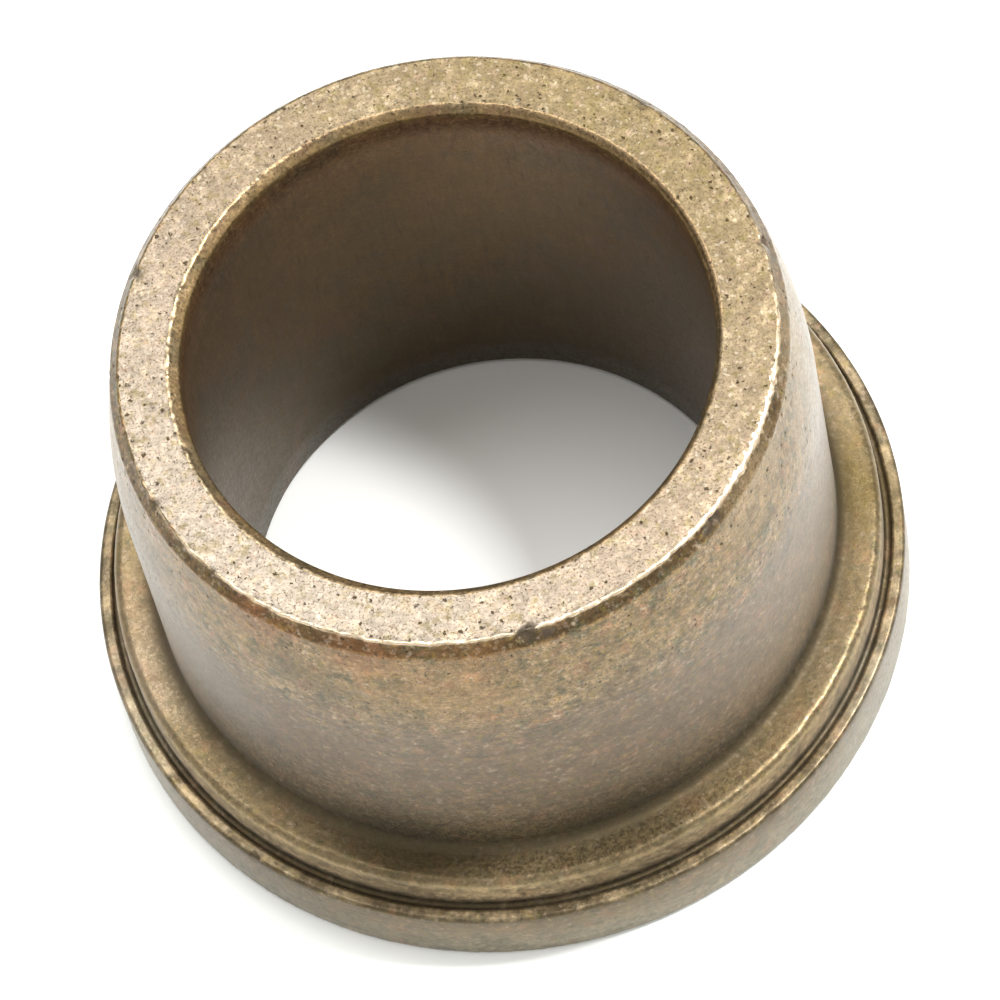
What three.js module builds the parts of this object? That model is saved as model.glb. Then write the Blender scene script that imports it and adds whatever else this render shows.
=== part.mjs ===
// Flanged sleeve bushing of sintered bronze: one solid, pressed and sized in a die.
// Millimetres, +Z up along the bore. The origin is the centre of the flange's back face,
// which is the face the bushing stands on.

import * as THREE from 'three';

// Driving dimensions: the bore and sleeve fit a 3/4 inch shaft and a 1 inch housing.
const BORE_DIAMETER = 19.05;
const SLEEVE_DIAMETER = 25.4;
const FLANGE_DIAMETER = 30.15;
const LENGTH = 19.05;

// Bore: the same 45 degree chamfer at both mouths.
const BORE_CHAMFER = 0.3;

// Flange: a wide lower rim with a narrow ledge, and a slightly smaller upper step.
const LEDGE_HEIGHT = 2.95;
const STEP_HEIGHT = 4.4;
const STEP_DIAMETER = 28.6;
const GROOVE_RADIUS = 0.15;
const RIM_FOOT_ROUND = 0.3;
const RIM_TOP_ROUND = 0.15;
const STEP_ROUND = 0.35;
const SHOULDER_FILLET = 0.4;

// Free end: a narrow steep chamfer at the end face, then a long lead-in cone
// that eases the sleeve into its housing, blended softly into the sleeve wall.
const END_FACE_DIAMETER = 23.45;
const CHAMFER_FOOT_DIAMETER = 24.15;
const CHAMFER_DEPTH = 0.5;
const LEAD_IN_DEPTH = 4.1;
const LEAD_IN_BLEND = 1.6;

const SEGMENTS = 120;
const ARC_STEPS = 3;

const boreRadius = BORE_DIAMETER / 2;
const sleeveRadius = SLEEVE_DIAMETER / 2;
const rimRadius = FLANGE_DIAMETER / 2;
const stepRadius = STEP_DIAMETER / 2;
const faceRadius = END_FACE_DIAMETER / 2;
const chamferFootRadius = CHAMFER_FOOT_DIAMETER / 2;

// Points on a circular arc in the section plane, angles in degrees from the outward radius.
function arc(centreRadius, centreHeight, radius, fromDegrees, toDegrees) {
  const points = [];
  for (let step = 0; step <= ARC_STEPS; step += 1) {
    const degrees = THREE.MathUtils.lerp(fromDegrees, toDegrees, step / ARC_STEPS);
    const angle = THREE.MathUtils.degToRad(degrees);
    const r = centreRadius + radius * Math.cos(angle);
    const z = centreHeight + radius * Math.sin(angle);
    points.push(new THREE.Vector2(r, z));
  }
  return points;
}

// The soft blend from the sleeve wall into the lead-in cone.
function leadInBlend() {
  const coneDepth = LEAD_IN_DEPTH - CHAMFER_DEPTH;
  const slope = (sleeveRadius - chamferFootRadius) / coneDepth;
  const cornerHeight = LENGTH - LEAD_IN_DEPTH;
  const start = new THREE.Vector2(sleeveRadius, cornerHeight - LEAD_IN_BLEND);
  const corner = new THREE.Vector2(sleeveRadius, cornerHeight);
  const end = new THREE.Vector2(sleeveRadius - slope * LEAD_IN_BLEND, cornerHeight + LEAD_IN_BLEND);
  return new THREE.QuadraticBezierCurve(start, corner, end).getPoints(ARC_STEPS);
}

// Half section through the wall, counter-clockwise, from the bore's lower chamfer back to it.
function section() {
  const grooveCentre = stepRadius + GROOVE_RADIUS;
  const filletCentre = sleeveRadius + SHOULDER_FILLET;
  const boreFoot = new THREE.Vector2(boreRadius, BORE_CHAMFER);
  return [
    boreFoot,
    new THREE.Vector2(boreRadius + BORE_CHAMFER, 0),
    ...arc(rimRadius - RIM_FOOT_ROUND, RIM_FOOT_ROUND, RIM_FOOT_ROUND, -90, 0),
    ...arc(rimRadius - RIM_TOP_ROUND, LEDGE_HEIGHT - RIM_TOP_ROUND, RIM_TOP_ROUND, 0, 90),
    ...arc(grooveCentre, LEDGE_HEIGHT, GROOVE_RADIUS, 0, -180),
    ...arc(stepRadius - STEP_ROUND, STEP_HEIGHT - STEP_ROUND, STEP_ROUND, 0, 90),
    ...arc(filletCentre, STEP_HEIGHT + SHOULDER_FILLET, SHOULDER_FILLET, -90, -180),
    ...leadInBlend(),
    new THREE.Vector2(chamferFootRadius, LENGTH - CHAMFER_DEPTH),
    new THREE.Vector2(faceRadius, LENGTH),
    new THREE.Vector2(boreRadius + BORE_CHAMFER, LENGTH),
    new THREE.Vector2(boreRadius, LENGTH - BORE_CHAMFER),
    boreFoot.clone(),
  ];
}

// The section turned once round the bore.
function makeBushing() {
  const geometry = new THREE.LatheGeometry(section(), SEGMENTS);
  geometry.rotateX(Math.PI / 2);
  const bronze = new THREE.MeshStandardMaterial({ color: 0xa58f75, roughness: 0.5, metalness: 0.85 });
  const mesh = new THREE.Mesh(geometry, bronze);
  mesh.name = 'flanged_bushing';
  return mesh;
}

const group = new THREE.Group();
group.add(makeBushing());

export default group;
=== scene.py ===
import math

import bpy
from mathutils import Matrix, Vector


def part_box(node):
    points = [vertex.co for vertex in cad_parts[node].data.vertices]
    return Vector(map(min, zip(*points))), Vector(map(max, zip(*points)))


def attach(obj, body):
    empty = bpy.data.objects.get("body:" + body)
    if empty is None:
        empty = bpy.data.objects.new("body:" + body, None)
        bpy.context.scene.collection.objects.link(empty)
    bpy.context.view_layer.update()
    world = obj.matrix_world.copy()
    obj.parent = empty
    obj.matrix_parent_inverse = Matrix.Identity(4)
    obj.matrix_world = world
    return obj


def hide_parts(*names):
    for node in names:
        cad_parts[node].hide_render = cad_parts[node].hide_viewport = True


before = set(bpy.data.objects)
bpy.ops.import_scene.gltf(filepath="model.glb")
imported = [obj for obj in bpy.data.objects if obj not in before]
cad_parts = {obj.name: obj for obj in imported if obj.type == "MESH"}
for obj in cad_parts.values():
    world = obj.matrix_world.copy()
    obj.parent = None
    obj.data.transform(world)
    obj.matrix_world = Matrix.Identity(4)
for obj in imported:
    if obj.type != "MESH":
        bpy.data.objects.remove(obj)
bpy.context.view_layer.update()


# ---------------------------------------------------------------------------------------------
# The bushing's body. The real one is a single piece: bronze powder pressed in a die, sintered,
# then squeezed to size. Its shape is one wall section turned round the bore, so it is made the
# same way here: a section drawn in stretches, one for each finish, and turned by Geometry Nodes.
# ---------------------------------------------------------------------------------------------

MM = 0.001
node_low, node_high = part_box("flanged_bushing")
length = node_high[2] / MM
rim_radius = (node_high[0] - node_low[0]) / 2 / MM

# Sizes in millimetres. worn_round is how much of the end face's edges is rubbed away.
bore_radius = 9.525
bore_chamfer = 0.3
sleeve_radius = 12.7
face_radius = 11.725
chamfer_foot_radius = 12.075
chamfer_depth = 0.5
lead_in_depth = 4.1
lead_in_blend = 1.6
shoulder_fillet = 0.4
step_radius = 14.3
step_height = 4.4
step_round = 0.35
groove_radius = 0.15
ledge_height = 2.95
rim_top_round = 0.15
rim_foot_round = 0.3
worn_round = 0.07


def line(start, end, rows):
    """Points from start towards end, in (radius, height), without the last one."""
    return [tuple(a + (b - a) * row / rows for a, b in zip(start, end)) for row in range(rows)]


def arc(centre, radius, start_degrees, end_degrees, rows):
    """Points on a round, again without the last one."""
    points = []
    for row in range(rows):
        angle = math.radians(start_degrees + (end_degrees - start_degrees) * row / rows)
        points.append((centre[0] + radius * math.cos(angle), centre[1] + radius * math.sin(angle)))
    return points


def blend(start, corner, end, rows):
    """Points on a soft bend that leaves start and reaches end along the two legs of a corner."""
    points = []
    for row in range(rows):
        t = row / rows
        weights = ((1 - t) ** 2, 2 * t * (1 - t), t ** 2)
        pulls = list(zip(weights, (start, corner, end)))
        points.append(tuple(sum(weight * point[i] for weight, point in pulls) for i in (0, 1)))
    return points


cone_slope = (sleeve_radius - chamfer_foot_radius) / (lead_in_depth - chamfer_depth)
cone_foot = (sleeve_radius, length - lead_in_depth)
blend_start = (sleeve_radius, cone_foot[1] - lead_in_blend)
blend_end = (sleeve_radius - cone_slope * lead_in_blend, cone_foot[1] + lead_in_blend)
chamfer_foot = (chamfer_foot_radius, length - chamfer_depth)
chamfer_end = (
    face_radius + worn_round * (chamfer_foot_radius - face_radius) / chamfer_depth,
    length - worn_round,
)
face_edge = (face_radius, length)
face_start = (face_radius - worn_round, length)
mouth_radius = bore_radius + bore_chamfer
mouth_edge = (mouth_radius, length)
face_end = (mouth_radius + worn_round, length)
mouth_start = (mouth_radius - worn_round, length - worn_round)
bore_top = (bore_radius, length - bore_chamfer)
bore_foot = (bore_radius, bore_chamfer)
rim_foot_centre = (rim_radius - rim_foot_round, rim_foot_round)
rim_top_centre = (rim_radius - rim_top_round, ledge_height - rim_top_round)
groove_centre = (step_radius + groove_radius, ledge_height)
step_centre = (step_radius - step_round, step_height - step_round)
fillet_centre = (sleeve_radius + shoulder_fillet, step_height + shoulder_fillet)

# Counter-clockwise, from the foot of the bore wall round the outside and back down the bore. The
# last number of each part is how many rows of faces it has.
stretches = [
    ("bore", line(bore_foot, (mouth_radius, 0), 4)),
    ("skin", line((mouth_radius, 0), (rim_foot_centre[0], 0), 7)
     + arc(rim_foot_centre, rim_foot_round, -90, 0, 4)
     + line((rim_radius, rim_foot_round), (rim_radius, rim_top_centre[1]), 8)
     + arc(rim_top_centre, rim_top_round, 0, 90, 4)
     + line((rim_top_centre[0], ledge_height), (groove_centre[0] + groove_radius, ledge_height), 3)
     + arc(groove_centre, groove_radius, 0, -180, 6)
     + line((step_radius, ledge_height), (step_radius, step_centre[1]), 6)
     + arc(step_centre, step_round, 0, 90, 5)
     + line((step_centre[0], step_height), (fillet_centre[0], step_height), 6)
     + arc(fillet_centre, shoulder_fillet, -90, -180, 5)
     + line((sleeve_radius, fillet_centre[1]), blend_start, 14)
     + blend(blend_start, cone_foot, blend_end, 10)
     + line(blend_end, chamfer_foot, 13)
     + line(chamfer_foot, chamfer_end, 6)
     + blend(chamfer_end, face_edge, face_start, 4)),
    ("face", line(face_start, face_end, 24)),
    ("bore", blend(face_end, mouth_edge, mouth_start, 3)
     + line(mouth_start, bore_top, 4)
     + line(bore_top, bore_foot, 12)),
]
finishes = ["bore", "skin", "face"]

# The middle of a round lies this far from the corner that it takes off or fills in.
step_round_middle = 0.1
rim_top_middle = 0.05
rim_foot_middle = 0.1
fillet_middle = 0.1
# The end face's pores are open from this far inside its edges.
face_margin = 0.3

# Places on the section. Each is where it is, how strong it is, and its reach along the section.
# Outside corners, which are rubbed bright, partly with painted highlights:
corners = [
    (face_edge, 1.0, 0.10),
    (chamfer_foot, 0.3, 0.10),
    ((step_radius - step_round_middle, step_height - step_round_middle), 0.38, 0.22),
    ((rim_radius - rim_top_middle, ledge_height - rim_top_middle), 0.05, 0.12),
    ((rim_radius - rim_foot_middle, rim_foot_middle), 0.25, 0.2),
]
# Inside corners, where oil and dust settle and shade is painted:
hollows = [
    ((sleeve_radius + fillet_middle, step_height + fillet_middle), 0.9, 0.42),
    ((groove_centre[0], ledge_height - groove_radius), 0.5, 0.24),
]
# Where the pores are still open, on the end face and the lead-in. The die smeared them shut
# elsewhere.
open_places = [
    ((face_radius - face_margin, length), 1.0, 0.9),
    ((mouth_radius + face_margin, length), 1.0, 0.9),
    (chamfer_foot, 1.0, 2.8),
    (cone_foot, 0.85, 2.2),
]
# What moves with the bore's chamfer, and what moves with the rolled-over edge of the end face:
mouth_places = [(mouth_edge, 1.0, 0.25)]
brow_places = [(face_edge, 1.0, 0.24)]
marked_places = {
    "edge": corners,
    "hollow": hollows,
    "open": open_places,
    "mouth": mouth_places,
    "brow": brow_places,
}


def nearness(point, places):
    """How near a point of the section is to the nearest of some places, 1 at it and 0 far away."""
    return max(weight * math.exp(-(math.dist(point, place) / reach) ** 2)
               for place, weight, reach in places)


points = [point for _, stretch in stretches for point in stretch]
points.append(points[0])
finish_of_row = [finishes.index(name) for name, stretch in stretches for _ in stretch]
finish_of_row.append(finish_of_row[0])

section = bpy.data.meshes.new("wall_section")
section_lines = [(row, row + 1) for row in range(len(points) - 1)]
section.from_pydata([(r * MM, 0, z * MM) for r, z in points], section_lines, [])
for name, places in marked_places.items():
    values = section.attributes.new(name, "FLOAT", "POINT").data
    for row, point in enumerate(points):
        values[row].value = nearness(point, places)
values = section.attributes.new("finish", "INT", "POINT").data
for row, finish in enumerate(finish_of_row):
    values[row].value = finish


def side(azimuth):
    """The level direction from the middle of the bore towards an azimuth, from +X towards +Y."""
    angle = math.radians(azimuth)
    return (math.cos(angle), math.sin(angle), 0.0)


# Knocks from handling: azimuth in degrees, then radius, height, reach and depth in mm.
knocks = [
    (-89, face_radius + 0.10, length, 0.55, 0.20),
    (-86, face_radius + 0.20, length - 0.3, 0.40, 0.12),
    (-107, face_radius + 0.25, length - 0.5, 0.22, 0.10),
    (-118, face_radius, length, 0.30, 0.06),
    (-135, face_radius, length, 0.22, 0.05),
    (-147, face_radius, length, 0.26, 0.09),
    (-164, face_radius, length, 0.26, 0.10),
    (149, face_radius, length, 0.34, 0.12),
    (40, face_radius, length, 0.30, 0.06),
    (4, face_radius + 0.1, length, 0.30, 0.10),
    (-51, face_radius + 0.2, length - 0.2, 0.45, 0.20),
    (-53, face_radius + 0.3, length - 0.4, 0.35, 0.12),
    (-61, face_radius + 0.1, length, 0.25, 0.08),
    (-172, mouth_radius, length, 0.28, 0.07),
    (150, mouth_radius, length, 0.30, 0.08),
    (120, mouth_radius, length, 0.25, 0.06),
    (-75, mouth_radius, length, 0.20, 0.05),
    (-20, sleeve_radius - 0.1, 14.2, 0.55, 0.04),
    (-35, step_radius, step_height, 0.45, 0.05),
    (-128, step_radius, step_height, 0.40, 0.05),
    (-62, rim_radius, ledge_height, 0.40, 0.05),
    (-140, rim_radius, ledge_height, 0.35, 0.05),
]
knock_places = []
for azimuth, knock_radius, knock_height, _, _ in knocks:
    out_x, out_y, _ = side(azimuth)
    knock_places.append((knock_radius * MM * out_x, knock_radius * MM * out_y, knock_height * MM))
knock_mesh = bpy.data.meshes.new("knocks")
knock_mesh.from_pydata(knock_places, [], [])
for name, column in (("reach", 3), ("depth", 4)):
    values = knock_mesh.attributes.new(name, "FLOAT", "POINT").data
    for index, knock in enumerate(knocks):
        values[index].value = knock[column] * MM
knock_points = bpy.data.objects.new("knocks", knock_mesh)
bpy.context.collection.objects.link(knock_points)

# The side that was rubbed most, which also carries the painted highlight on the rubbed edges, the
# side whose edge was rolled over, where the wear carries a painted glint, and the side where the
# bore's chamfer is widest.
worn_and_highlit_side = side(-80)
rolled_over_side = side(-38)
chamfer_side = (-1.0, 0.0, 0.0)

# Pores in the bronze, in mm: how far apart they are and how large the largest is. The last value
# is the share of places that have none.
pore_spacing = 0.25
pore_radius = 0.09
pore_none = 0.3

# Nearly all of a noise's values lie in this span.
noise_span = (0.3, 0.7)


def add(tree, kind, inputs=(), **settings):
    """Adds a node. Its inputs are values or other nodes' outputs, in order, or by name or number."""
    node = tree.nodes.new(kind)
    for name, value in settings.items():
        setattr(node, name, value)
    for key, value in inputs.items() if isinstance(inputs, dict) else enumerate(inputs):
        if isinstance(value, bpy.types.NodeSocket):
            tree.links.new(value, node.inputs[key])
        elif value is not None:
            node.inputs[key].default_value = value
    return node


def pore_field(tree, coords, openness):
    """How deep inside an open pore a place is: above 0 in a pore, in parts of the pore spacing."""
    largest = pore_radius / pore_spacing
    cells = add(tree, "ShaderNodeTexVoronoi", {"Vector": coords, "Scale": 1 / (pore_spacing * MM)})
    chance = add(tree, "ShaderNodeSeparateXYZ", [cells.outputs["Color"]]).outputs[0]
    size = add(tree, "ShaderNodeMapRange", [chance, pore_none, 1.0, 0.0, largest],
               clamp=False).outputs[0]
    size = add(tree, "ShaderNodeMath", [size, openness], operation="MULTIPLY").outputs[0]
    return add(tree, "ShaderNodeMath", [size, cells.outputs["Distance"]],
               operation="SUBTRACT").outputs[0]


# The tree that turns the section. Rag is how far a sharp edge wanders, and Burr how high its beads
# stand. Grain and Pore Depth are the powder's relief, Chamfer Lean is how far off centre the
# bore's chamfer was cut, and Roll Over is how far the end face's edge is pressed down.
turned = bpy.data.node_groups.new("turned_ring", "GeometryNodeTree")
turned.interface.new_socket("Section", in_out="INPUT", socket_type="NodeSocketGeometry")
sizes = {
    "Steps Around": ("NodeSocketInt", 640),
    "Knocks": ("NodeSocketObject", knock_points),
    "Rag": ("NodeSocketFloat", 0.20 * MM),
    "Burr": ("NodeSocketFloat", 0.11 * MM),
    "Grain": ("NodeSocketFloat", 0.010 * MM),
    "Pore Depth": ("NodeSocketFloat", 0.035 * MM),
    "Chamfer Lean": ("NodeSocketFloat", 0.10 * MM),
    "Roll Over": ("NodeSocketFloat", 0.12 * MM),
    "Seed": ("NodeSocketFloat", 4.0),
}
sockets = {name: turned.interface.new_socket(name, in_out="INPUT", socket_type=kind)
           for name, (kind, _) in sizes.items()}
turned.interface.new_socket("Ring", in_out="OUTPUT", socket_type="NodeSocketGeometry")
given = turned.nodes.new("NodeGroupInput").outputs

# A flat grid, 1 by 1: one way is the turn, the other runs along the section, one row for each of
# its points. A position is read wherever the points are when it is used, flat or rolled up.
count = add(turned, "GeometryNodeAttributeDomainSize", [given["Section"]]).outputs["Point Count"]
across = add(turned, "ShaderNodeMath", [given["Steps Around"], 1.0], operation="ADD").outputs[0]
grid = add(turned, "GeometryNodeMeshGrid", [1.0, 1.0, across, count]).outputs["Mesh"]
place = add(turned, "GeometryNodeInputPosition").outputs[0]
on_grid = add(turned, "ShaderNodeSeparateXYZ", [place]).outputs
turn = add(turned, "ShaderNodeMath", [on_grid["X"], math.tau, math.pi],
           operation="MULTIPLY_ADD").outputs[0]
last_row = add(turned, "ShaderNodeMath", [count, 1.0], operation="SUBTRACT").outputs[0]
along = add(turned, "ShaderNodeMath", [on_grid["Y"], 0.5], operation="ADD").outputs[0]
along = add(turned, "ShaderNodeMath", [along, last_row], operation="MULTIPLY").outputs[0]
row_number = add(turned, "ShaderNodeMath", [along], operation="ROUND").outputs[0]
face_row = add(turned, "ShaderNodeMath", [along], operation="FLOOR").outputs[0]

# Each face keeps the finish of its row, and each point what the section says of its places.
value = add(turned, "GeometryNodeInputNamedAttribute", ["finish"], data_type="INT").outputs[0]
here = add(turned, "GeometryNodeSampleIndex", [given["Section"], value, face_row],
           data_type="INT").outputs[0]
shape = add(turned, "GeometryNodeStoreNamedAttribute",
            {"Geometry": grid, "Name": "finish", "Value": here},
            data_type="INT", domain="FACE").outputs[0]
for name in marked_places:
    value = add(turned, "GeometryNodeInputNamedAttribute", [name], data_type="FLOAT").outputs[0]
    here = add(turned, "GeometryNodeSampleIndex", [given["Section"], value, row_number],
               data_type="FLOAT").outputs[0]
    shape = add(turned, "GeometryNodeStoreNamedAttribute",
                {"Geometry": shape, "Name": name, "Value": here},
                data_type="FLOAT", domain="POINT").outputs[0]

# The grid rolled up: each row stands at its point of the section, turned round the bore. Points
# that meet are welded, so the ring closes.
weld_distance = 0.001 * MM
on_section = add(turned, "GeometryNodeSampleIndex", [given["Section"], place, row_number],
                 data_type="FLOAT_VECTOR").outputs[0]
rolled = add(turned, "ShaderNodeVectorRotate", {"Vector": on_section, "Angle": turn},
             rotation_type="Z_AXIS").outputs[0]
shape = add(turned, "GeometryNodeSetPosition", {"Geometry": shape, "Position": rolled}).outputs[0]
shape = add(turned, "GeometryNodeMergeByDistance",
            {"Geometry": shape, "Distance": weld_distance}).outputs[0]

# Where the edges are worn: most on the worn side, and at the bore's mouth most where its chamfer
# is widest. Their bright colour is partly wear and partly a painted highlight. A facing is how
# squarely a place looks to that side, and a share is how much it is worn at the first facing and at
# the second.
worn_and_highlit_facing = (-0.4, 0.6)
worn_and_highlit_share = (0.25, 1.0)
mouth_sharpness = 6.0
mouth_facing = (-0.2, 1.0)
mouth_share = (0.3, 0.7)
outward = add(turned, "ShaderNodeVectorMath", [place, (1.0, 1.0, 0.0)],
              operation="MULTIPLY").outputs[0]
outward = add(turned, "ShaderNodeVectorMath", [outward], operation="NORMALIZE").outputs[0]
edge = add(turned, "GeometryNodeInputNamedAttribute", ["edge"], data_type="FLOAT").outputs[0]
wear = add(turned, "ShaderNodeVectorMath", [outward, worn_and_highlit_side],
           operation="DOT_PRODUCT").outputs["Value"]
wear = add(turned, "ShaderNodeMapRange", [wear, *worn_and_highlit_facing, *worn_and_highlit_share]).outputs[0]
edge = add(turned, "ShaderNodeMath", [edge, wear], operation="MULTIPLY").outputs[0]
mouth = add(turned, "GeometryNodeInputNamedAttribute", ["mouth"], data_type="FLOAT").outputs[0]
mouth_wear_and_glint = add(turned, "ShaderNodeMath", [mouth, mouth_sharpness], operation="POWER").outputs[0]
wear = add(turned, "ShaderNodeVectorMath", [outward, chamfer_side],
           operation="DOT_PRODUCT").outputs["Value"]
wear = add(turned, "ShaderNodeMapRange", [wear, *mouth_facing, *mouth_share]).outputs[0]
mouth_wear_and_glint = add(turned, "ShaderNodeMath", [mouth_wear_and_glint, wear], operation="MULTIPLY").outputs[0]
edge = add(turned, "ShaderNodeMath", [edge, mouth_wear_and_glint], operation="MAXIMUM").outputs[0]

# On one side the edge of the end face is rolled over, in uneven beads of the size bead_size in mm.
bead_size = 0.22
rolled_facing = (0.8, 0.98)
uneven_span = (0.35, 0.6)
uneven_share = (0.35, 1.0)
brow = add(turned, "GeometryNodeInputNamedAttribute", ["brow"], data_type="FLOAT").outputs[0]
rolled_over = add(turned, "ShaderNodeVectorMath", [outward, rolled_over_side],
                  operation="DOT_PRODUCT").outputs["Value"]
rolled_over = add(turned, "ShaderNodeMapRange", [rolled_over, *rolled_facing, 0.0, 1.0]).outputs[0]
brow = add(turned, "ShaderNodeMath", [brow, rolled_over], operation="MULTIPLY").outputs[0]
beads = add(turned, "ShaderNodeTexNoise",
            {"Vector": place, "Scale": 1 / (bead_size * MM), "Detail": 1.0}).outputs[0]
uneven = add(turned, "ShaderNodeMapRange", [beads, *uneven_span, *uneven_share]).outputs[0]
brow = add(turned, "ShaderNodeMath", [brow, uneven], operation="MULTIPLY").outputs[0]
# Its wear, which also carries a painted glint, fades sooner than its drop, so the same two shares
# count once more in the wear.
brow_wear_and_glint = add(turned, "ShaderNodeMath", [brow, rolled_over], operation="MULTIPLY").outputs[0]
brow_wear_and_glint = add(turned, "ShaderNodeMath", [brow_wear_and_glint, uneven], operation="MULTIPLY").outputs[0]
edge = add(turned, "ShaderNodeMath", [edge, brow_wear_and_glint], operation="MAXIMUM").outputs[0]

# The worn edges, with their painted highlights, are stored for the material, and read again, so
# that the wear isn't counted twice.
shape = add(turned, "GeometryNodeStoreNamedAttribute",
            {"Geometry": shape, "Name": "edge", "Value": edge},
            data_type="FLOAT", domain="POINT").outputs[0]
edge = add(turned, "GeometryNodeInputNamedAttribute", ["edge"], data_type="FLOAT").outputs[0]

# Relief, as a distance along the normal: powder grain everywhere, and pits where pores are open.
# Single powder grains are finer than the faces, so the mesh has only their clusters.
cluster_size = 0.45
pit_span = (-0.05, 0.12)
openness = add(turned, "GeometryNodeInputNamedAttribute", ["open"], data_type="FLOAT").outputs[0]
grain = add(turned, "ShaderNodeTexNoise",
            {"Vector": place, "W": given["Seed"], "Scale": 1 / (cluster_size * MM), "Detail": 2.0},
            noise_dimensions="4D").outputs[0]
grain = add(turned, "ShaderNodeMath", [grain, 0.5], operation="SUBTRACT").outputs[0]
grain = add(turned, "ShaderNodeMath", [grain, given["Grain"]], operation="MULTIPLY").outputs[0]
pit = pore_field(turned, place, openness)
pit = add(turned, "ShaderNodeMapRange", [pit, *pit_span, 0.0, 1.0],
          interpolation_type="SMOOTHSTEP").outputs[0]
pit = add(turned, "ShaderNodeMath", [pit, given["Pore Depth"]], operation="MULTIPLY").outputs[0]
relief = add(turned, "ShaderNodeMath", [grain, pit], operation="SUBTRACT").outputs[0]

# Knocks push the metal in, deepest at their middle, with an outline that a noise shakes.
shake_size = 0.3
shaken_share = (0.7, 1.35)
knock_info = add(turned, "GeometryNodeObjectInfo", [given["Knocks"]]).outputs["Geometry"]
nearest = add(turned, "GeometryNodeSampleNearest", [knock_info, place], domain="POINT").outputs[0]
knock = {}
for name in ("reach", "depth"):
    value = add(turned, "GeometryNodeInputNamedAttribute", [name], data_type="FLOAT").outputs[0]
    knock[name] = add(turned, "GeometryNodeSampleIndex", [knock_info, value, nearest],
                      data_type="FLOAT").outputs[0]
centre = add(turned, "GeometryNodeSampleIndex", [knock_info, place, nearest],
             data_type="FLOAT_VECTOR").outputs[0]
shaken = add(turned, "ShaderNodeTexNoise",
             {"Vector": place, "Scale": 1 / (shake_size * MM)}).outputs[0]
shaken = add(turned, "ShaderNodeMapRange", [shaken, *noise_span, *shaken_share]).outputs[0]
distance = add(turned, "ShaderNodeVectorMath", [place, centre],
               operation="DISTANCE").outputs["Value"]
distance = add(turned, "ShaderNodeMath", [distance, shaken], operation="MULTIPLY").outputs[0]
dent = add(turned, "ShaderNodeMapRange", [distance, 0.0, knock["reach"], knock["depth"], 0.0],
           interpolation_type="SMOOTHSTEP").outputs[0]
relief = add(turned, "ShaderNodeMath", [relief, dent], operation="SUBTRACT").outputs[0]

# The sharp edges are ragged. They wander in and out, and carry a low burr of squeezed-up beads.
rag_size = 0.5
bead_span = (0.42, 0.7)
normal = add(turned, "GeometryNodeInputNormal").outputs[0]
rag = add(turned, "ShaderNodeTexNoise",
          {"Vector": place, "W": given["Seed"], "Scale": 1 / (rag_size * MM), "Detail": 3.0,
           "Roughness": 0.7}, noise_dimensions="4D").outputs[0]
rag = add(turned, "ShaderNodeMath", [rag, 0.5], operation="SUBTRACT").outputs[0]
rag = add(turned, "ShaderNodeMath", [rag, edge], operation="MULTIPLY").outputs[0]
rag = add(turned, "ShaderNodeMath", [rag, given["Rag"]], operation="MULTIPLY").outputs[0]
burr = add(turned, "ShaderNodeMapRange", [beads, *bead_span, 0.0, 1.0]).outputs[0]
burr = add(turned, "ShaderNodeMath", [burr, edge], operation="MULTIPLY").outputs[0]
relief = add(turned, "ShaderNodeMath", [burr, given["Burr"], relief],
             operation="MULTIPLY_ADD").outputs[0]
offset = add(turned, "ShaderNodeVectorMath", {0: normal, "Scale": relief},
             operation="SCALE").outputs[0]
sideways = add(turned, "ShaderNodeVectorMath", {0: outward, "Scale": rag},
               operation="SCALE").outputs[0]
offset = add(turned, "ShaderNodeVectorMath", [offset, sideways], operation="ADD").outputs[0]

# The rolled-over edge is pressed down.
drop = add(turned, "ShaderNodeMath", [brow, given["Roll Over"]], operation="MULTIPLY").outputs[0]
dropped = add(turned, "ShaderNodeVectorMath", {0: (0.0, 0.0, -1.0), "Scale": drop},
              operation="SCALE").outputs[0]
offset = add(turned, "ShaderNodeVectorMath", [offset, dropped], operation="ADD").outputs[0]

# The chamfer of the bore was cut a little off centre, so it is wider on one side.
lean = add(turned, "ShaderNodeMath", [mouth, given["Chamfer Lean"]], operation="MULTIPLY").outputs[0]
leant = add(turned, "ShaderNodeVectorMath", {0: chamfer_side, "Scale": lean},
            operation="SCALE").outputs[0]
offset = add(turned, "ShaderNodeVectorMath", [offset, leant], operation="ADD").outputs[0]

# The material also has to know where the knocks are. One of this depth is smeared all over.
deep_knock = 0.12 * MM
smeared = add(turned, "ShaderNodeMath", [dent, deep_knock], operation="DIVIDE",
              use_clamp=True).outputs[0]
shape = add(turned, "GeometryNodeStoreNamedAttribute",
            {"Geometry": shape, "Name": "knock", "Value": smeared},
            data_type="FLOAT", domain="POINT").outputs[0]
shape = add(turned, "GeometryNodeSetPosition", {"Geometry": shape, "Offset": offset}).outputs[0]
shape = add(turned, "GeometryNodeSetShadeSmooth", {"Geometry": shape}).outputs[0]


def linear(hex_colour):
    """An sRGB hex colour as linear light, with full opacity."""
    channels = [int(hex_colour[i:i + 2], 16) / 255 for i in (1, 3, 5)]
    light = [c / 12.92 if c <= 0.04045 else ((c + 0.055) / 1.055) ** 2.4 for c in channels]
    return (*light, 1.0)


# Sizes of the marks on the surface, in mm. Tones wander by tone_wander at their borders, and pores
# are ruffled by ruffle_reach. Real powder grains are 0.05 to 0.1 mm across, and they are drawn a
# little coarser, at grain_size, so that they show.
cloud_size = 0.9
tone_wander = 0.5
mark_size = 0.16
mottle_size = 0.24
grain_size = 0.11
ruffle_size = 0.12
ruffle_reach = 0.22
fine_pore_size = 0.085


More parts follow.
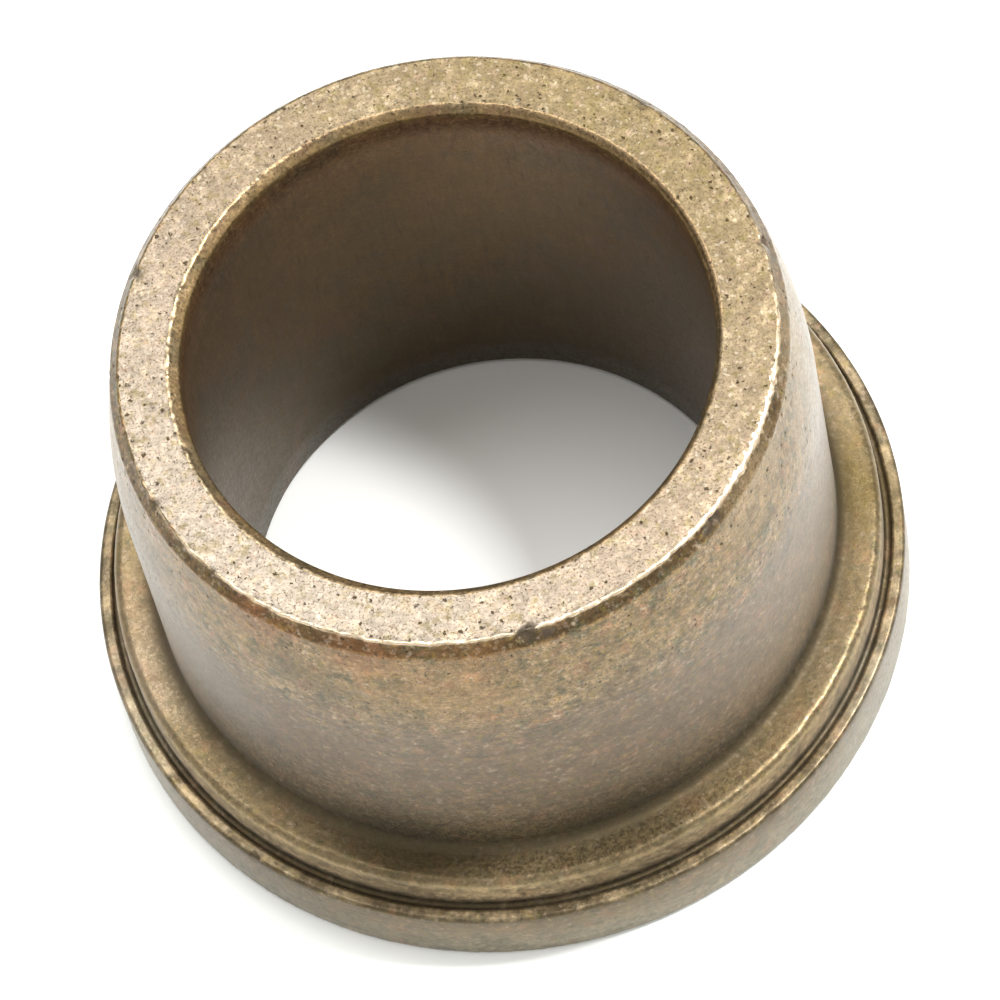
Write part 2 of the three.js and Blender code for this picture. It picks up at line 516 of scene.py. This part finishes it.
def sintered_bronze(name, tones, way, stains, patches, drag, mottling, pore_tone, edge_tone,
                    roughness, bump, film):
    """Sintered bronze: packed powder grains, open pores that hold oil, and a skin that differs by
    place. tones are (place in mm, colour) along the direction way. stains are (colour, size in mm,
    threshold, strength). patches are (azimuth, height, reach in mm, colour, strength), each in one
    place only. drag says how close together the tool marks are round the bushing and along it.
    mottling is how far the light and dark clouds of grains go. roughness is for the smoothest and
    the roughest grain, bump is the height of the relief in mm, and film is how much of the soft
    sheen of dried oil the surface has."""
    material = bpy.data.materials.new(name)
    material.use_nodes = True
    tree = material.node_tree
    shader = tree.nodes["Principled BSDF"]
    coords = add(tree, "ShaderNodeTexCoord").outputs["Object"]

    # Skin: its tone along the way, with a wandering border between one tone and the next.
    first, last = tones[0][0], tones[-1][0]
    clouds = add(tree, "ShaderNodeTexNoise",
                 {"Vector": coords, "Scale": 1 / (cloud_size * MM), "Detail": 5.0,
                  "Roughness": 0.6}).outputs[0]
    wander = add(tree, "ShaderNodeMath", [clouds, 0.5], operation="SUBTRACT").outputs[0]
    share = add(tree, "ShaderNodeVectorMath", [coords, way], operation="DOT_PRODUCT").outputs["Value"]
    share = add(tree, "ShaderNodeMath", [wander, tone_wander * MM, share],
                operation="MULTIPLY_ADD").outputs[0]
    share = add(tree, "ShaderNodeMapRange", [share, first * MM, last * MM, 0.0, 1.0]).outputs[0]
    ramp = add(tree, "ShaderNodeValToRGB", [share])
    stops = ramp.color_ramp.elements
    stops.remove(stops[0])
    for index, (stop_place, tone) in enumerate(tones):
        position = (stop_place - first) / (last - first)
        stop = stops[0] if index == 0 else stops.new(position)
        stop.position = position
        stop.color = linear(tone)
    skin = ramp.outputs["Color"]

    # Stains of oil, heat and handling, each in patches of its own size. They keep to open metal,
    # and a skin that is smeared shut holds only closed_hold of them.
    stain_border = 0.07
    stain_shift = 3.1
    open_enough = 0.8
    closed_hold = 0.55
    openness = add(tree, "ShaderNodeAttribute", attribute_name="open").outputs["Fac"]
    hold = add(tree, "ShaderNodeMapRange", [openness, 0.0, open_enough, closed_hold, 1.0]).outputs[0]
    for index, (tone, size, threshold, strength) in enumerate(stains):
        stain = add(tree, "ShaderNodeTexNoise",
                    {"Vector": coords, "W": stain_shift * index, "Scale": 1 / (size * MM),
                     "Detail": 6.0, "Roughness": 0.62}, noise_dimensions="4D").outputs[0]
        stain = add(tree, "ShaderNodeMapRange",
                    [stain, threshold, threshold + stain_border, 0.0, strength]).outputs[0]
        stain = add(tree, "ShaderNodeMath", [stain, hold], operation="MULTIPLY").outputs[0]
        skin = add(tree, "ShaderNodeMix", {0: stain, 6: skin, 7: linear(tone)},
                   data_type="RGBA").outputs[2]

    # Drag marks of the die, drawn in coordinates that run round the bushing, clouds of powder
    # grains in two sizes, and single grains. Each lightens and darkens the skin.
    mark_light = (0.82, 1.18)
    mottle_light = (1 - mottling, 1 + mottling)
    blotch_span = (0.35, 0.65)
    blotch_light = (1 - mottling / 2, 1 + mottling / 2)
    grain_light = (0.82, 1.18)
    flat = add(tree, "ShaderNodeVectorMath", [coords, (1.0, 1.0, 0.0)],
               operation="MULTIPLY").outputs[0]
    radius = add(tree, "ShaderNodeVectorMath", [flat], operation="LENGTH").outputs["Value"]
    round_way = add(tree, "ShaderNodeVectorMath", [flat], operation="NORMALIZE").outputs[0]
    round_way = add(tree, "ShaderNodeVectorMath",
                    {0: round_way, "Scale": drag[0] * sleeve_radius * MM},
                    operation="SCALE").outputs[0]
    along_way = add(tree, "ShaderNodeVectorMath", [coords, (0.0, 0.0, drag[1])],
                    operation="MULTIPLY").outputs[0]
    dragged = add(tree, "ShaderNodeVectorMath", [round_way, along_way], operation="ADD").outputs[0]
    marks = add(tree, "ShaderNodeTexNoise",
                {"Vector": dragged, "W": radius, "Scale": 1 / (mark_size * MM), "Detail": 4.0,
                 "Roughness": 0.6}, noise_dimensions="4D").outputs[0]
    light = add(tree, "ShaderNodeMapRange", [marks, *noise_span, *mark_light]).outputs[0]
    mottle = add(tree, "ShaderNodeTexNoise",
                 {"Vector": coords, "Scale": 1 / (mottle_size * MM), "Detail": 4.0,
                  "Roughness": 0.75}).outputs[0]
    cloudy = add(tree, "ShaderNodeMapRange", [mottle, *noise_span, *mottle_light]).outputs[0]
    light = add(tree, "ShaderNodeMath", [light, cloudy], operation="MULTIPLY").outputs[0]
    blotchy = add(tree, "ShaderNodeMapRange", [clouds, *blotch_span, *blotch_light]).outputs[0]
    light = add(tree, "ShaderNodeMath", [light, blotchy], operation="MULTIPLY").outputs[0]
    light = add(tree, "ShaderNodeMath", [light, 1.0], operation="SUBTRACT").outputs[0]
    light = add(tree, "ShaderNodeMath", [light, hold, 1.0], operation="MULTIPLY_ADD").outputs[0]
    grains = add(tree, "ShaderNodeTexVoronoi",
                 {"Vector": coords, "Scale": 1 / (grain_size * MM)}).outputs["Color"]
    grains = add(tree, "ShaderNodeSeparateXYZ", [grains]).outputs[0]
    speck = add(tree, "ShaderNodeMapRange", [grains, 0.0, 1.0, *grain_light]).outputs[0]
    light = add(tree, "ShaderNodeMath", [light, speck], operation="MULTIPLY").outputs[0]
    skin = add(tree, "ShaderNodeMix", {0: 1.0, 6: skin, 7: light}, data_type="RGBA",
               blend_type="MULTIPLY").outputs[2]

    # Where a mark is deepest it has filled with oil.
    filled_span = (0.38, 0.3)
    filled_share = 0.6
    oiled = add(tree, "ShaderNodeMapRange", [marks, *filled_span, 0.0, filled_share]).outputs[0]
    oiled = add(tree, "ShaderNodeMath", [oiled, hold], operation="MULTIPLY").outputs[0]
    skin = add(tree, "ShaderNodeMix", {0: oiled, 6: skin, 7: linear(pore_tone)},
               data_type="RGBA").outputs[2]

    # Patches of heat tint, of painted sheen, light and dark reflection, and other lighter and darker
    # patches. The clouds make them uneven.
    patch_span = (0.05, 0.4)
    for azimuth, height, reach, tone, strength in patches:
        out_x, out_y, _ = side(azimuth)
        middle = (sleeve_radius * MM * out_x, sleeve_radius * MM * out_y, height * MM)
        near = add(tree, "ShaderNodeVectorMath", [coords, middle],
                   operation="DISTANCE").outputs["Value"]
        near = add(tree, "ShaderNodeMapRange", [near, 0.0, reach * MM, 1.0, 0.0]).outputs[0]
        near = add(tree, "ShaderNodeMath", [near, clouds], operation="MULTIPLY").outputs[0]
        near = add(tree, "ShaderNodeMapRange", [near, *patch_span, 0.0, strength]).outputs[0]
        skin = add(tree, "ShaderNodeMix", {0: near, 6: skin, 7: linear(tone)},
                   data_type="RGBA").outputs[2]

    # Open pores with ragged rims, fine pores between them, and oil and dust with painted shade in
    # the hollows.
    pore_rim = 0.12
    pore_fill = 0.85
    fine_span = (0.55, 0.68)
    fine_fill = 0.7
    dirt_and_shade_fill = 0.7
    dirt_and_shade_tone = "#3c3426"
    ruffle = add(tree, "ShaderNodeTexNoise",
                 {"Vector": coords, "Scale": 1 / (ruffle_size * MM), "Detail": 2.0}).outputs[1]
    ruffle = add(tree, "ShaderNodeVectorMath", [ruffle, (0.5, 0.5, 0.5)],
                 operation="SUBTRACT").outputs[0]
    ruffle = add(tree, "ShaderNodeVectorMath", {0: ruffle, "Scale": ruffle_reach * MM},
                 operation="SCALE").outputs[0]
    ruffled = add(tree, "ShaderNodeVectorMath", [coords, ruffle], operation="ADD").outputs[0]
    hole = pore_field(tree, ruffled, openness)
    hole = add(tree, "ShaderNodeMapRange", [hole, 0.0, pore_rim, 0.0, pore_fill]).outputs[0]
    skin = add(tree, "ShaderNodeMix", {0: hole, 6: skin, 7: linear(pore_tone)},
               data_type="RGBA").outputs[2]
    fine = add(tree, "ShaderNodeTexNoise",
               {"Vector": coords, "Scale": 1 / (fine_pore_size * MM), "Detail": 1.0}).outputs[0]
    fine = add(tree, "ShaderNodeMapRange", [fine, *fine_span, 0.0, fine_fill]).outputs[0]
    fine = add(tree, "ShaderNodeMath", [fine, openness], operation="MULTIPLY").outputs[0]
    skin = add(tree, "ShaderNodeMix", {0: fine, 6: skin, 7: linear(pore_tone)},
               data_type="RGBA").outputs[2]
    hollow = add(tree, "ShaderNodeAttribute", attribute_name="hollow").outputs["Fac"]
    dirt_and_shade = add(tree, "ShaderNodeMath", [hollow, dirt_and_shade_fill], operation="MULTIPLY").outputs[0]
    skin = add(tree, "ShaderNodeMix", {0: dirt_and_shade, 6: skin, 7: linear(dirt_and_shade_tone)},
               data_type="RGBA").outputs[2]

    # Among the open pores some single grains are polished bare.
    bare_span = (0.93, 0.96)
    bare_share = 0.14
    bare = add(tree, "ShaderNodeMapRange", [grains, *bare_span, 0.0, bare_share]).outputs[0]
    bare = add(tree, "ShaderNodeMath", [bare, openness], operation="MULTIPLY").outputs[0]
    skin = add(tree, "ShaderNodeMix", {0: bare, 6: skin, 7: linear(edge_tone)},
               data_type="RGBA").outputs[2]

    # Edges are rubbed bright in places, partly wear and partly a painted highlight, and the metal in
    # a knock is smeared dark.
    rubbed_and_highlit_span = (0.22, 0.42)
    rubbed_and_highlit_share = 0.95
    smear_span = (0.1, 0.8)
    smear_share = 0.85
    smear_tone = "#4a4034"
    edge = add(tree, "ShaderNodeAttribute", attribute_name="edge").outputs["Fac"]
    rubbed_and_highlit = add(tree, "ShaderNodeMath", [edge, marks], operation="MULTIPLY").outputs[0]
    rubbed_and_highlit = add(tree, "ShaderNodeMapRange", [rubbed_and_highlit, *rubbed_and_highlit_span, 0.0, rubbed_and_highlit_share]).outputs[0]
    skin = add(tree, "ShaderNodeMix", {0: rubbed_and_highlit, 6: skin, 7: linear(edge_tone)},
               data_type="RGBA").outputs[2]
    smear = add(tree, "ShaderNodeAttribute", attribute_name="knock").outputs["Fac"]
    smear = add(tree, "ShaderNodeMapRange", [smear, *smear_span, 0.0, smear_share]).outputs[0]
    skin = add(tree, "ShaderNodeMix", {0: smear, 6: skin, 7: linear(smear_tone)},
               data_type="RGBA").outputs[2]
    tree.links.new(skin, shader.inputs["Base Color"])

    # Gloss follows the grains: pores and hollows are duller, and rubbed edges are glossier.
    pore_dulling = 0.3
    hollow_dulling = 0.25
    edge_dulling = -0.12
    gloss = add(tree, "ShaderNodeMapRange", [grains, 0.0, 1.0, *roughness]).outputs[0]
    gloss = add(tree, "ShaderNodeMath", [hole, pore_dulling, gloss],
                operation="MULTIPLY_ADD").outputs[0]
    gloss = add(tree, "ShaderNodeMath", [hollow, hollow_dulling, gloss],
                operation="MULTIPLY_ADD").outputs[0]
    gloss = add(tree, "ShaderNodeMath", [edge, edge_dulling, gloss],
                operation="MULTIPLY_ADD").outputs[0]
    tree.links.new(gloss, shader.inputs["Roughness"])

    # The fine relief is made of the same grains, marks and pores.
    mark_rise = 0.2
    mottle_rise = 0.8
    pore_rise = -2.0
    rise = add(tree, "ShaderNodeMath", [marks, mark_rise, speck],
               operation="MULTIPLY_ADD").outputs[0]
    rise = add(tree, "ShaderNodeMath", [mottle, mottle_rise, rise],
               operation="MULTIPLY_ADD").outputs[0]
    rise = add(tree, "ShaderNodeMath", [hole, pore_rise, rise], operation="MULTIPLY_ADD").outputs[0]
    relief_normal = add(tree, "ShaderNodeBump",
                        {"Height": rise, "Distance": bump * MM, "Strength": 1.0}).outputs[0]
    tree.links.new(relief_normal, shader.inputs["Normal"])

    # Oil in the pores takes a little of the metal's mirror away.
    shader.inputs["Metallic"].default_value = 0.8
    shader.inputs["Sheen Weight"].default_value = film
    shader.inputs["Sheen Roughness"].default_value = 0.35
    return material


# The end face was pressed flat by the punch: the brightest skin, lighter pinkish cream on one side
# and darker olive on the other.
across_face = side(40)
face_tones = [
    (-face_radius, "#93887a"),
    (-3.0, "#877968"),
    (4.0, "#7a6b55"),
    (face_radius, "#706144"),
]
face_stains = [
    ("#9b8b70", 0.55, 0.54, 0.5),
    ("#6a5e37", 0.4, 0.54, 0.55),
    ("#87715e", 0.4, 0.57, 0.5),
]
# The near-white tone of its rubbed edges is partly a painted highlight.
pressed_face = sintered_bronze(
    "bronze_pressed_end_face", face_tones, across_face, face_stains, [], drag=(0.6, 1.0),
    mottling=0.26, pore_tone="#43351f", edge_tone="#f4ead8", roughness=(0.42, 0.6), bump=0.016,
    film=0.0)

# The outside was sized in a die: tan brown, greyer down the sleeve, olive and golden on the
# flange. Dirt and painted shade darken the sleeve's root and the flange's groove, and a bright band
# on the flange's step is a painted highlight. The chamfer kept the brown skin of the furnace.
along_bore = (0.0, 0.0, 1.0)
skin_tones = [
    (0.0, "#6f664f"),
    (0.6, "#7e7663"),
    (2.4, "#625237"),
    # The dark tone at the groove is painted shade, and the bright tone on the step above it a painted
    # highlight.
    (2.9, "#504532"),
    (3.3, "#c9b28d"),
    (4.0, "#9a8662"),
    (4.35, "#6c5d43"),
    (4.9, "#61543a"),
    (6.2, "#62523b"),
    (9.5, "#60503e"),
    (13.5, "#675744"),
    (15.2, "#77654a"),
    (18.35, "#78654a"),
    (18.5, "#78603f"),
    (18.6, "#554228"),
    (18.9, "#57442a"),
    (length, "#6a583a"),
]
skin_stains = [
    ("#4f4e39", 0.55, 0.53, 0.75),
    ("#866349", 0.8, 0.55, 0.55),
    ("#70602f", 0.4, 0.55, 0.6),
    ("#8f7f6c", 0.3, 0.56, 0.7),
]
# The furnace left an orange tint by the chamfer, with small dark spots below it. Pale patches on
# both sides of the sleeve and on the rim are painted sheen, a pale patch low on the left is painted
# light, and the dark patches at the front of the sleeve's root are a painted dark reflection of the
# sleeve. Other patches darken the flange's step on the right and the top of the rim on the left,
# and lighten the chamfer on the right.
skin_patches = [
    (-118, 18.9, 2.4, "#84532f", 0.5),
    (-136, 18.9, 2.4, "#7f4f2d", 0.5),
    (-98, 18.9, 2.0, "#84572f", 0.35),
    (-104, 16.8, 3.8, "#96744f", 0.2),
    # Painted sheen on the right of the sleeve:
    (-12, 14.8, 5.0, "#8d857a", 0.5),
    (6, 16.5, 5.0, "#8a8276", 0.35),
    # Painted sheen on the left of the sleeve:
    (-168, 15.0, 5.0, "#87817a", 0.4),
    (-152, 10.5, 4.6, "#716c64", 0.4),
    # Painted light low on the left:
    (-175, 5.0, 4.6, "#846f5a", 0.4),
    # A painted dark reflection of the sleeve on the front of its root and the shoulder:
    (-118, 4.8, 4.2, "#3f351f", 0.6),
    (-82, 4.8, 4.2, "#3f351f", 0.5),
    # Painted sheen on the rim:
    (-170, 1.0, 5.0, "#8a8471", 0.6),
    (-38, 0.4, 5.0, "#8b877b", 0.5),
    (-8, 3.6, 3.6, "#54451f", 0.8),
    (-42, 18.8, 3.2, "#8c785a", 0.6),
    (-14, 18.8, 3.2, "#8c785a", 0.6),
    (-172, 2.6, 2.4, "#54482a", 0.8),
    (-131, 16.3, 1.5, "#4a4332", 0.6),
    (-124, 15.6, 1.3, "#4e4636", 0.55),
    (-112, 14.6, 1.4, "#554c3c", 0.4),
]
sized_skin = sintered_bronze(
    "bronze_sized_skin", skin_tones, along_bore, skin_stains, skin_patches, drag=(0.1, 1.0),
    mottling=0.46, pore_tone="#453a28", edge_tone="#c4b094", roughness=(0.32, 0.48), bump=0.014,
    film=0.12)

# The bore was burnished by the core rod: darker than the rest, with few open pores and fine marks
# along it. Its chamfer is olive.
bore_tones = [
    (0.0, "#483c23"),
    (5.0, "#55452d"),
    (16.0, "#695131"),
    (18.4, "#75583c"),
    (18.75, "#77613d"),
    (length, "#836e50"),
]
bore_stains = [
    ("#4f4a38", 2.5, 0.5, 0.5),
    ("#6a4c3c", 2.0, 0.56, 0.5),
]
burnished_bore = sintered_bronze(
    "bronze_burnished_bore", bore_tones, along_bore, bore_stains, [], drag=(1.0, 0.15),
    mottling=0.2, pore_tone="#33291c", edge_tone="#c8b490", roughness=(0.35, 0.5), bump=0.010,
    film=0.0)
materials = {"face": pressed_face, "skin": sized_skin, "bore": burnished_bore}

# Each face takes the material of its finish, and the ring is done.
finish_of_face = add(turned, "GeometryNodeInputNamedAttribute", ["finish"],
                     data_type="INT").outputs[0]
for number, finish in enumerate(finishes):
    is_this = add(turned, "FunctionNodeCompare", {2: finish_of_face, 3: number}, data_type="INT",
                  operation="EQUAL").outputs[0]
    shape = add(turned, "GeometryNodeSetMaterial",
                {"Geometry": shape, "Selection": is_this, "Material": materials[finish]}).outputs[0]
shape = add(turned, "GeometryNodeRealizeInstances", [shape]).outputs[0]
add(turned, "NodeGroupOutput", [shape])

section_object = bpy.data.objects.new("wall_section", section)
bpy.context.collection.objects.link(section_object)
ring = section_object.modifiers.new("turned_ring", "NODES")
ring.node_group = turned
for name, (_, value) in sizes.items():
    ring[sockets[name].identifier] = value
evaluated = section_object.evaluated_get(bpy.context.evaluated_depsgraph_get())
body_mesh = bpy.data.meshes.new_from_object(evaluated)
body_mesh.name = "bushing_body"
bushing = bpy.data.objects.new("bushing_body", body_mesh)
bpy.context.collection.objects.link(bushing)
bpy.data.objects.remove(section_object)
bpy.data.objects.remove(knock_points)

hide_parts("flanged_bushing")
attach(bushing, "root")


# ---------------------------------------------------------------------------------------------
# The camera: a long lens well above the bushing, rolled a little, so that the sleeve leans to
# the left of the frame. It aims just below the middle of the end face.
# ---------------------------------------------------------------------------------------------

camera_distance = 251.2 * MM
camera_height_degrees = 60.58
camera_roll_degrees = -14.565
aim_right_degrees = 0.105
aim_up_degrees = -1.318
# The lens is this many times as long as the frame is wide.
lens_per_frame = 7.140

target = Vector((0, 0, length * MM))
elevation = math.radians(camera_height_degrees)
from_target = Vector((0, -math.cos(elevation), math.sin(elevation)))
ahead = -from_target
right = Vector((1, 0, 0))
up = right.cross(ahead)
ahead = (ahead + math.tan(math.radians(aim_right_degrees)) * right
         + math.tan(math.radians(aim_up_degrees)) * up).normalized()
right = ahead.cross(up).normalized()
up = right.cross(ahead)
roll = math.radians(camera_roll_degrees)
rolled_right = math.cos(roll) * right + math.sin(roll) * up
rolled_up = math.cos(roll) * up - math.sin(roll) * right
axes = Matrix((rolled_right, rolled_up, -ahead)).transposed()

camera_data = bpy.data.cameras.new("camera")
camera_data.sensor_width = 36.0
camera_data.lens = lens_per_frame * camera_data.sensor_width
camera_data.clip_start = 0.01
camera_data.clip_end = 10.0
camera = bpy.data.objects.new("camera", camera_data)
camera.matrix_world = Matrix.Translation(target + from_target * camera_distance) @ axes.to_4x4()
bpy.context.collection.objects.link(camera)
bpy.context.scene.camera = camera


# ---------------------------------------------------------------------------------------------
# The studio: a plain white table, a pale room all round, and soft lamps. The main lamp is
# high on the right, so its light falls through the bore on to the table at the left. The fill
# lamp is high at the back.
# ---------------------------------------------------------------------------------------------

half_width = 1.2
table_corners = [
    (-half_width, -half_width, 0),
    (half_width, -half_width, 0),
    (half_width, half_width, 0),
    (-half_width, half_width, 0),
]
table_mesh = bpy.data.meshes.new("table")
table_mesh.from_pydata(table_corners, [], [(0, 1, 2, 3)])
# Matt white paper gives the eye soft shadows and no reflection of the bushing.
paper = bpy.data.materials.new("matt_white_paper")
paper.use_nodes = True
paper_shader = paper.node_tree.nodes["Principled BSDF"]
paper_shader.inputs["Base Color"].default_value = linear("#f2f3f0")
paper_shader.inputs["Roughness"].default_value = 0.9
table_mesh.materials.append(paper)
table = bpy.data.objects.new("table", table_mesh)
bpy.context.collection.objects.link(table)

room = bpy.data.worlds.new("pale_room")
room.use_nodes = True
room_light = room.node_tree.nodes["Background"]
room_light.inputs["Color"].default_value = linear("#ffffff")
room_light.inputs["Strength"].default_value = 1.2
bpy.context.scene.world = room


def softbox(name, azimuth, height_degrees, distance, width, watts):
    """A square lamp that faces the bushing. Distance and width are in metres."""
    data = bpy.data.lights.new(name, "AREA")
    data.shape = "SQUARE"
    data.size = width
    data.energy = watts
    lamp = bpy.data.objects.new(name, data)
    turn_angle, height_angle = math.radians(azimuth), math.radians(height_degrees)
    way = Vector((math.cos(turn_angle) * math.cos(height_angle),
                  math.sin(turn_angle) * math.cos(height_angle),
                  math.sin(height_angle)))
    lamp.location = way * distance
    lamp.rotation_mode = "QUATERNION"
    lamp.rotation_quaternion = way.to_track_quat("Z", "Y")
    bpy.context.collection.objects.link(lamp)


softbox("main_lamp", azimuth=3, height_degrees=62, distance=0.35, width=0.05, watts=1.2)
softbox("fill_lamp", azimuth=100, height_degrees=70, distance=0.4, width=0.2, watts=1.0)

bpy.context.scene.view_settings.view_transform = "Standard"
